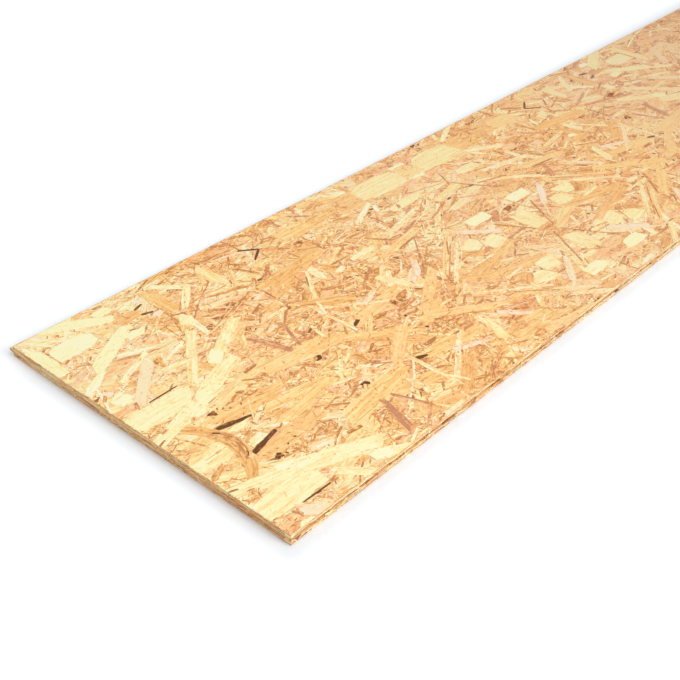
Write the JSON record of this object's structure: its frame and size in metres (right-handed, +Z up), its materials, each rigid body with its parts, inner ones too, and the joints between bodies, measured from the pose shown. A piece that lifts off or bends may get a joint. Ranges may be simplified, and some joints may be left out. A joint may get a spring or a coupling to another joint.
{
  "type": "tongue and groove osb board",
  "caption": "Flat oriented strand board for floors, with a tongue along one long edge, a groove along the other and square sawn ends.",
  "frame": {"origin": "centre of the bounding box on the underside, which lies on the floor", "axes": "+X along the length, +Y across the board towards the tongue, +Z up through the thickness"},
  "size_m": [2.4, 0.6, 0.018],
  "materials": {
    "osb": "matt pressed softwood strands in cream, tan and red-brown, sawn and milled edges, unsealed"
  },
  "bodies": {
    "root": {"osb_board": "osb"}
  },
  "joints": []
}
